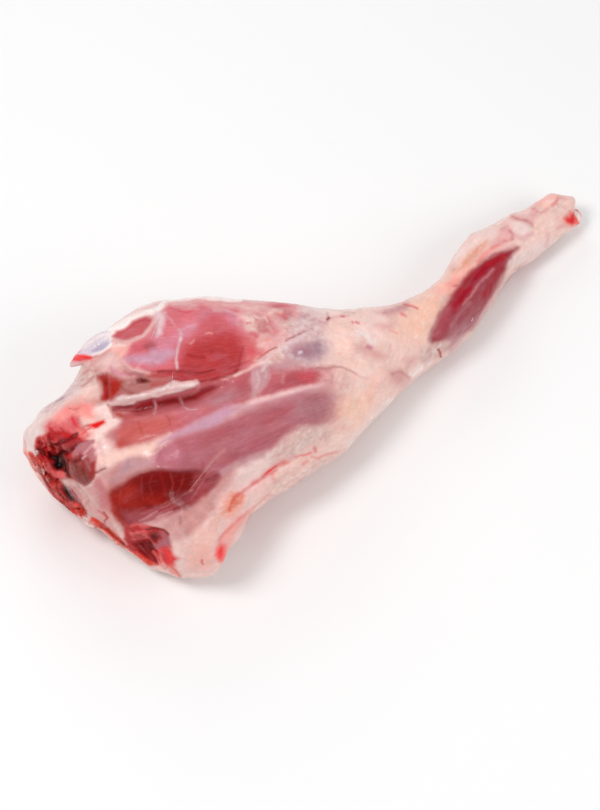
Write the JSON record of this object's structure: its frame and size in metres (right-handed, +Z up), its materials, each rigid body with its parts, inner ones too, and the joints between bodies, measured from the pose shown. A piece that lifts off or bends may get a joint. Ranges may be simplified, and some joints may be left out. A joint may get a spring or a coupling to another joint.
{
  "type": "leg of lamb",
  "caption": "Raw bone-in leg of lamb with its shank, lying inner side up, with the aitch bone's cartilage at the butt and the shank bone's end showing.",
  "frame": {"origin": "under the middle of the leg's box, on the surface that it rests on", "axes": "+X from the cut butt to the shank, +Y across to the edge with the aitch bone, +Z up out of the inner side of the leg"},
  "size_m": [0.4304, 0.1866, 0.1074],
  "materials": {
    "leg_meat": "wet raw lamb: rose and mauve muscle under a thin clear skin, cream white fat, dark red cut meat",
    "aitch_bone": "wet bluish white cartilage with a red tip",
    "shank_bone": "wet pinkish white bone, blood red where it is sawn"
  },
  "bodies": {
    "root": {"leg_meat": "leg_meat", "aitch_bone": "aitch_bone", "shank_bone": "shank_bone"}
  },
  "joints": []
}
